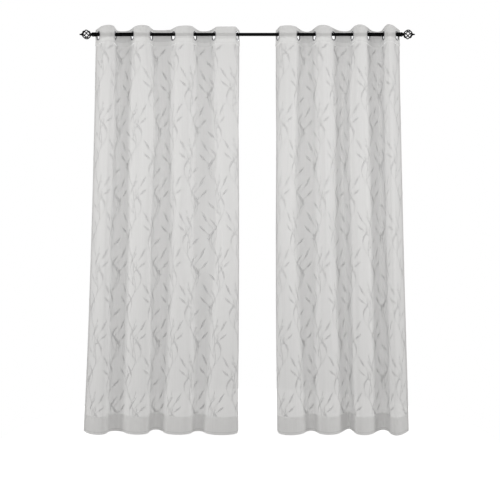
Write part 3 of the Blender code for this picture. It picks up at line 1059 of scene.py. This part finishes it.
def arrayed(shape, count, step):
    """The mesh of a shape repeated by an Array modifier."""
    obj = bpy.data.objects.new("arrayed", as_mesh("arrayed", shape))
    bpy.context.scene.collection.objects.link(obj)
    array = obj.modifiers.new("Repeat", "ARRAY")
    array.count = count
    array.use_relative_offset = False
    array.use_constant_offset = True
    array.constant_offset_displace = step
    return evaluated_mesh(obj)


def vines(mirrored):
    """Every vine of one kind on the flat cloth."""
    vine = vine_repeat()
    across, lift = FIRST_VINE, -REPEAT * START_SHARE
    if mirrored:
        bmesh.ops.scale(vine, vec=(-1, 1, 1), verts=vine.verts)
        bmesh.ops.reverse_faces(vine, faces=vine.faces)
        across += VINE_PITCH
        lift -= REPEAT / 2
    bmesh.ops.translate(vine, vec=(across, 0, EMBROIDERY_FOOT + lift), verts=vine.verts)
    column = bmesh.new()
    column.from_mesh(arrayed(vine, REPEATS_UP, (0, 0, REPEAT)))
    return arrayed(column, VINES_EACH_WAY, (2 * VINE_PITCH, 0, 0))


def trim(shape, height, upwards):
    """Cuts away what lies above or below a height and closes the cut ends."""
    geometry = [*shape.verts, *shape.edges, *shape.faces]
    cut = bmesh.ops.bisect_plane(
        shape, geom=geometry, plane_co=(0, 0, height), plane_no=(0, 0, upwards), clear_outer=True
    )
    edges = [item for item in cut["geom_cut"] if isinstance(item, bmesh.types.BMEdge)]
    bmesh.ops.holes_fill(shape, edges=edges, sides=12)


def add_embroidery(side):
    flat = bmesh.new()
    flat.from_mesh(vines(mirrored=False))
    flat.from_mesh(vines(mirrored=True))
    trim(flat, EMBROIDERY_HEAD, 1)
    trim(flat, EMBROIDERY_FOOT, -1)
    mesh = as_mesh(f"embroidery_{side.name}", flat)
    side.cloth.hang(mesh)
    mesh.shade_smooth()
    return add_piece(f"embroidery_{side.name}", mesh, thread, "voile")


embroideries = {side.name: add_embroidery(side) for side in sides}
print("embroidery faces:", len(embroideries["left"].data.polygons))

# %% [markdown]
# ## Stitching
#
# Lockstitch shows as a row of short threads with gaps between them. One stitch is made flat, an
# array repeats it along the seam, and the row is hung with the cloth. Two rows hold the heading's
# facing, and one row runs along the inner edge of every hem.

# %% Seams
STITCH_LENGTH = 0.0027
STITCH_STEP = 0.0038
STITCH_WIDTH = 0.0006
STITCH_RISE = 0.0005
STITCH_TAPER = ((0, 0.4), (0.25, 1), (0.75, 1), (1, 0.4))
SEAM_ENDS = 0.004
FACING_INSET = 0.002
HEM_INSET = 0.003
ACROSS = CLOTH_WIDTH - 2 * SEAM_ENDS
DOWN = HEADING_BOTTOM - HEM - 2 * SEAM_ENDS
SIDE_SEAM = SIDE_HEM - HEM_INSET
Seam = namedtuple("Seam", "x z length upright proud")
SEAMS = (
    Seam(SEAM_ENDS, HEADING_BOTTOM + FACING_INSET, ACROSS, False, 0.0026),
    Seam(SEAM_ENDS, HEADING_BOTTOM + FACING_EDGE - FACING_INSET, ACROSS, False, 0.0014),
    Seam(SEAM_ENDS, HEM + HEM_DEPTH - HEM_INSET, ACROSS, False, 0.0),
    Seam(SIDE_SEAM, HEM + SEAM_ENDS, DOWN, True, 0.0),
    Seam(CLOTH_WIDTH - SIDE_SEAM, HEM + SEAM_ENDS, DOWN, True, 0.0),
)


def seam_mesh(seam):
    """One row of stitches on the flat cloth."""
    along = Vector((0, 0, 1)) if seam.upright else Vector((1, 0, 0))
    start = Vector((seam.x, -seam.proud, seam.z))
    points = [start + along * STITCH_LENGTH * share for share, _ in STITCH_TAPER]
    widths = [STITCH_WIDTH * fullness for _, fullness in STITCH_TAPER]
    stitch = bmesh.new()
    add_stroke(stitch, points, widths, STITCH_RISE, around=4)
    bmesh.ops.remove_doubles(stitch, verts=stitch.verts, dist=WELD)
    bmesh.ops.holes_fill(stitch, edges=stitch.edges, sides=4)
    bmesh.ops.recalc_face_normals(stitch, faces=stitch.faces)
    return arrayed(stitch, int(seam.length / STITCH_STEP), along * STITCH_STEP)


def add_stitching(side):
    flat = bmesh.new()
    for seam in SEAMS:
        flat.from_mesh(seam_mesh(seam))
    mesh = as_mesh(f"stitching_{side.name}", flat)
    side.cloth.hang(mesh)
    return add_piece(f"stitching_{side.name}", mesh, thread, "voile")


stitchings = {side.name: add_stitching(side) for side in sides}
print("stitching faces:", len(stitchings["left"].data.polygons))

# %% [markdown]
# ## Turned pieces
#
# Eyelets, tubes and collars are all round, so each is a profile spun about an axis. The profile is
# drawn once as points of radius and height, and sharp rings are bevelled after the spin. The spun
# piece is then turned and moved in its mesh, never by its object.

# %% A helper for turned pieces
TURNED_SHARPNESS = math.radians(40)


def spun(profile, segments, closed=False):
    """A bmesh of (radius, height) points spun about Z, with closed poles and outward faces."""
    shape = bmesh.new()
    corners = [shape.verts.new((radius, 0, height)) for radius, height in profile]
    pairs = list(zip(corners, corners[1:]))
    if closed:
        pairs.append((corners[-1], corners[0]))
    edges = [shape.edges.new(pair) for pair in pairs]
    bmesh.ops.spin(
        shape, geom=[*corners, *edges], axis=(0, 0, 1), cent=(0, 0, 0), steps=segments,
        angle=2 * math.pi, use_merge=True,
    )
    bmesh.ops.remove_doubles(shape, verts=shape.verts, dist=WELD)
    bmesh.ops.recalc_face_normals(shape, faces=shape.faces)
    return shape


def soften(shape, width, segments=2, sharper_than=35):
    """Bevels the edges that turn more sharply than an angle in degrees."""
    sharp = [e for e in shape.edges if e.calc_face_angle(0) > math.radians(sharper_than)]
    bmesh.ops.bevel(
        shape, geom=sharp, offset=width, affect="EDGES", segments=segments, profile=0.5,
        material=-1, clamp_overlap=True,
    )


def placed(name, shape, place):
    bmesh.ops.transform(shape, matrix=place, verts=shape.verts)
    mesh = as_mesh(name, shape)
    mesh.shade_smooth()
    mesh.set_sharp_from_angle(angle=TURNED_SHARPNESS)
    return mesh


def quarter(start, end, out_first, steps=5):
    """Points on a quarter of an ellipse from start to end, without its first point."""
    points = []
    for step in range(1, steps + 1):
        angle = math.pi / 2 * step / steps
        first, second = math.sin(angle), 1 - math.cos(angle)
        if not out_first:
            first, second = second, first
        radius = start[0] + (end[0] - start[0]) * first
        height = start[1] + (end[1] - start[1]) * second
        points.append((radius, height))
    return points


# %% [markdown]
# ## Eyelets
#
# An eyelet is two pressed rings that clinch together through the cloth. Their faces swell to a
# crown, the inside curls over so that it slides on the rod, and the skirts grip the heading from
# both sides. Half the section is two quarter ellipses and a flat underside, mirrored for the back.

# %% Eyelets
EYELET_RADIUS = 0.0275
EYELET_BARREL_RADIUS = 0.0227
EYELET_CROWN_RADIUS = 0.0243
EYELET_HALF_THICKNESS = 0.0034
EYELET_SEGMENTS = 56
SKIRT_LIP = 0.0002
SKIRT_EDGE = 0.0003
GRIP = HEADING_THICKNESS / 2 + 0.0003


def eyelet_profile():
    inside = (EYELET_HOLE_RADIUS, 0.0)
    crown = (EYELET_CROWN_RADIUS, EYELET_HALF_THICKNESS)
    skirt = (EYELET_RADIUS, GRIP + SKIRT_LIP)
    front = [inside, *quarter(inside, crown, out_first=False), *quarter(crown, skirt, True)]
    front += [(EYELET_RADIUS - SKIRT_EDGE, GRIP), (EYELET_BARREL_RADIUS, GRIP)]
    back = [(radius, -height) for radius, height in reversed(front) if height > 0]
    return front + back


def eyelet_places(folds):
    """An eyelet's axis is square to the cloth, where the cloth crosses under the rod."""
    up = Vector((0, 0, 1))
    places = []
    for number, knot in enumerate(fold_knots(folds, HEADING_TOP)):
        axis = direction(knot.angle, fold_side(number)).cross(up)
        turn = Matrix((up, axis.cross(up), axis)).transposed().to_4x4()
        middle = Vector((knot.place.x, 0, eyelet_height(folds[number])))
        places.append(Matrix.Translation(middle) @ turn)
    return places


def add_eyelet(side, number, place):
    name = f"eyelet_ring_{side.name}_{number}"
    ring = placed(name, spun(eyelet_profile(), EYELET_SEGMENTS, closed=True), place)
    return add_piece(name, ring, chrome, "eyelet_chrome", f"eyelet_{side.name}_{number}")


eyelets = {
    side.name: [
        add_eyelet(side, number, place)
        for number, place in enumerate(eyelet_places(side.folds), 1)
    ]
    for side in sides
}
print("eyelets:", sum(len(rings) for rings in eyelets.values()))

# %% [markdown]
# ## The rod
#
# A telescopic rod is two tubes with a thinner one sliding in both. The joints hide behind the
# cloth, so they are plain steps with a rolled lip. Each tube is a spun profile laid on the X axis.

# %% Tubes
ROD_HALF_LENGTH = 0.921
TUBE_OVERLAP = 0.060
SLIDING_GAP = 0.00035
PIECE_GAP = 0.0003
LIP_LENGTH = 0.003
LIP_RISE = 0.0004
LIP_ROUNDING = 0.0003
END_ROUNDING = 0.0006
ROD_SEGMENTS = 48


def along_rod(x, outward):
    """Lays a spun piece on the rod's axis, with its height pointing left or right."""
    return Matrix.Translation((x, 0, 0)) @ Matrix.Rotation(outward * math.pi / 2, 4, "Y")


def add_outer_tube(side, joint):
    length = ROD_HALF_LENGTH - abs(joint)
    socket = MIDDLE_TUBE_RADIUS + SLIDING_GAP
    profile = (
        (0, length),
        (OUTER_TUBE_RADIUS, length),
        (OUTER_TUBE_RADIUS, LIP_LENGTH),
        (OUTER_TUBE_RADIUS - LIP_RISE, LIP_LENGTH / 2),
        (OUTER_TUBE_RADIUS, 0),
        (socket, 0),
        (socket, TUBE_OVERLAP),
        (0, TUBE_OVERLAP),
    )
    tube = spun(profile, ROD_SEGMENTS)
    soften(tube, LIP_ROUNDING, sharper_than=60)
    mesh = placed(f"tube_{side.name}", tube, along_rod(joint, side.outward))
    return add_piece(f"tube_{side.name}", mesh, black, "black_metal", f"rod_tube_{side.name}")


def add_middle_tube():
    left = LEFT_JOINT - TUBE_OVERLAP + PIECE_GAP
    length = RIGHT_JOINT + TUBE_OVERLAP - PIECE_GAP - left
    profile = ((0, length), (MIDDLE_TUBE_RADIUS, length), (MIDDLE_TUBE_RADIUS, 0), (0, 0))
    tube = spun(profile, ROD_SEGMENTS)
    soften(tube, END_ROUNDING, sharper_than=60)
    mesh = placed("tube_middle", tube, along_rod(left, 1))
    return add_piece("tube_middle", mesh, black, "black_metal", "rod_tube_middle")


joints = {"left": LEFT_JOINT, "right": RIGHT_JOINT}
tubes = [add_outer_tube(side, joints[side.name]) for side in sides] + [add_middle_tube()]
print("tubes:", [tube.name for tube in tubes])

# %% [markdown]
# ## Finials
#
# Each end has a turned collar and an open cage. The cage is six round bars that run from pole to
# pole of a ball and turn half way round it, so that the far bars cross the near ones. A bar is the
# same rolled grid as a stroke of thread, but round, and longer. The hub and the tip are spun.

# %% Collars
CAGE_MIDDLE = 0.966
HUB_OUTER_FACE = 0.0275
HUB_INNER_FACE = 0.0225
HUB_RADIUS = 0.0082
COLLAR_START = 0.9105
COLLAR_LENGTH = CAGE_MIDDLE - HUB_OUTER_FACE - PIECE_GAP - COLLAR_START
COLLAR_SOCKET_DEPTH = 0.0110
COLLAR_ROUNDING = 0.0009


def add_collar(side):
    socket = OUTER_TUBE_RADIUS + SLIDING_GAP
    profile = (
        (0, COLLAR_LENGTH),
        (0.0070, COLLAR_LENGTH),
        (0.0088, 0.0265),
        (0.0132, 0.0170),
        (0.0120, 0.0100),
        (0.0120, 0.0060),
        (0.0130, 0.0050),
        (0.0130, 0),
        (socket, 0),
        (socket, COLLAR_SOCKET_DEPTH),
        (0, COLLAR_SOCKET_DEPTH),
    )
    collar = spun(profile, ROD_SEGMENTS)
    soften(collar, COLLAR_ROUNDING, segments=3, sharper_than=12)
    mesh = placed(f"collar_{side.name}", collar, along_rod(side.outward * COLLAR_START, side.outward))
    node = f"finial_collar_{side.name}"
    return add_piece(f"collar_{side.name}", mesh, black, "black_metal", node)


collars = [add_collar(side) for side in sides]
print("collars:", len(collars))

# %% Cages
CAGE_HALF_LENGTH = 0.0248
CAGE_RADIUS = 0.025
CAGE_BARS = 6
CAGE_TWIST = math.pi
CAGE_ROLL = math.radians(12)
BAR_RADIUS = 0.0031
BAR_FIRST_RADIUS = 0.0055
BAR_STEPS = 28
BAR_AROUND = 12
NEARBY = 0.01
HUB_SEGMENTS = 32
HUB_ROUNDING = 0.0007


def on_bar(number, share, outward):
    """A bar's middle, this share of the way from pole to pole."""
    start = math.asin(BAR_FIRST_RADIUS / CAGE_RADIUS)
    angle = start + (math.pi - 2 * start) * share
    turn = 2 * math.pi * number / CAGE_BARS + CAGE_TWIST * angle / math.pi - outward * CAGE_ROLL
    radius = CAGE_RADIUS * math.sin(angle)
    height = -CAGE_HALF_LENGTH * math.cos(angle)
    return Vector((radius * math.cos(turn), radius * math.sin(turn), height))


def add_bar(shape, number, outward):
    bar = bmesh.ops.create_grid(shape, x_segments=BAR_STEPS, y_segments=BAR_AROUND, size=0.5)
    for vertex in bar["verts"]:
        share = vertex.co.x + 0.5
        turn = 2 * math.pi * (vertex.co.y + 0.5)
        middle = on_bar(number, share, outward)
        before = on_bar(number, share - NEARBY, outward)
        after = on_bar(number, share + NEARBY, outward)
        ahead = (after - before).normalized()
        outwards = middle.normalized()
        sideways = ahead.cross(outwards).normalized()
        outwards = sideways.cross(ahead)
        vertex.co = middle + (sideways * math.cos(turn) + outwards * math.sin(turn)) * BAR_RADIUS


def add_cage(side):
    cage = bmesh.new()
    for number in range(CAGE_BARS):
        add_bar(cage, number, side.outward)
    bmesh.ops.remove_doubles(cage, verts=cage.verts, dist=WELD)
    bmesh.ops.holes_fill(cage, edges=cage.edges, sides=BAR_AROUND)
    bmesh.ops.recalc_face_normals(cage, faces=cage.faces)
    hub = (
        (0, -HUB_INNER_FACE),
        (HUB_RADIUS, -HUB_INNER_FACE),
        (HUB_RADIUS, -HUB_OUTER_FACE),
        (0, -HUB_OUTER_FACE),
    )
    tip = (
        (0, 0.0420),
        (0.0028, 0.0415),
        (0.0042, 0.0395),
        (0.0040, 0.0345),
        (0.0062, 0.0285),
        (HUB_RADIUS, HUB_OUTER_FACE),
        (HUB_RADIUS, HUB_INNER_FACE),
        (0, HUB_INNER_FACE),
    )
    for profile in (hub, tip):
        turned_end = spun(profile, HUB_SEGMENTS)
        soften(turned_end, HUB_ROUNDING, sharper_than=40)
        cage.from_mesh(as_mesh("cage end", turned_end))
    place = along_rod(side.outward * CAGE_MIDDLE, side.outward)
    mesh = placed(f"cage_{side.name}", cage, place)
    return add_piece(f"cage_{side.name}", mesh, black, "black_metal", f"finial_cage_{side.name}")


cages = [add_cage(side) for side in sides]
print("cage faces:", [len(cage.data.polygons) for cage in cages])

# %% [markdown]
# ## Saying what is cloth
#
# Each curtain is cut flat and then hung. The voile is 1.37 by 2.44 m with its hems turned in, and
# the heading is 1.32 by 0.098 m less its holes.

# %% Cloth pieces
print("sheets:", [panels[side.name].name for side in sides])

# %% [markdown]
# ## Floor
#
# A plain pale floor lies just under the hems. It is only the studio's.
# A little light of its own keeps it as bright as the white surroundings, so its rim doesn't show,
# and the hems still leave a soft shade on it. It sends no light back up into the cloth.

# %% Floor
FLOOR_BELOW_HEM = 0.055
FLOOR_HEIGHT = HEM - FLOOR_BELOW_HEM
FLOOR_RADIUS = 1.5
FLOOR_GLOW = 0.60
FLOOR_DARK = (0.88, 0.88, 0.88)
FLOOR_LIGHT = (0.90, 0.90, 0.90)
floor_shape = bmesh.new()
bmesh.ops.create_circle(floor_shape, cap_ends=True, segments=96, radius=FLOOR_RADIUS)
bmesh.ops.translate(floor_shape, vec=(0, 0, FLOOR_HEIGHT), verts=floor_shape.verts)
floor_finish = new_finish("pale floor", {
    "Roughness": 0.85,
    "Emission Color": (1, 1, 1, 1),
    "Emission Strength": FLOOR_GLOW,
})
floor_place = add_node(floor_finish, "ShaderNodeTexCoord")["Object"]
floor_tone = add_noise(floor_finish, floor_place, 3.0)
feed(floor_finish, "Base Color", two_tones(floor_finish, floor_tone, FLOOR_DARK, FLOOR_LIGHT))
floor = bpy.data.objects.new("floor", as_mesh("floor", floor_shape))
floor.data.materials.append(floor_finish)
bpy.context.scene.collection.objects.link(floor)
floor.visible_diffuse = False
print("floor at", round(FLOOR_HEIGHT, 4))
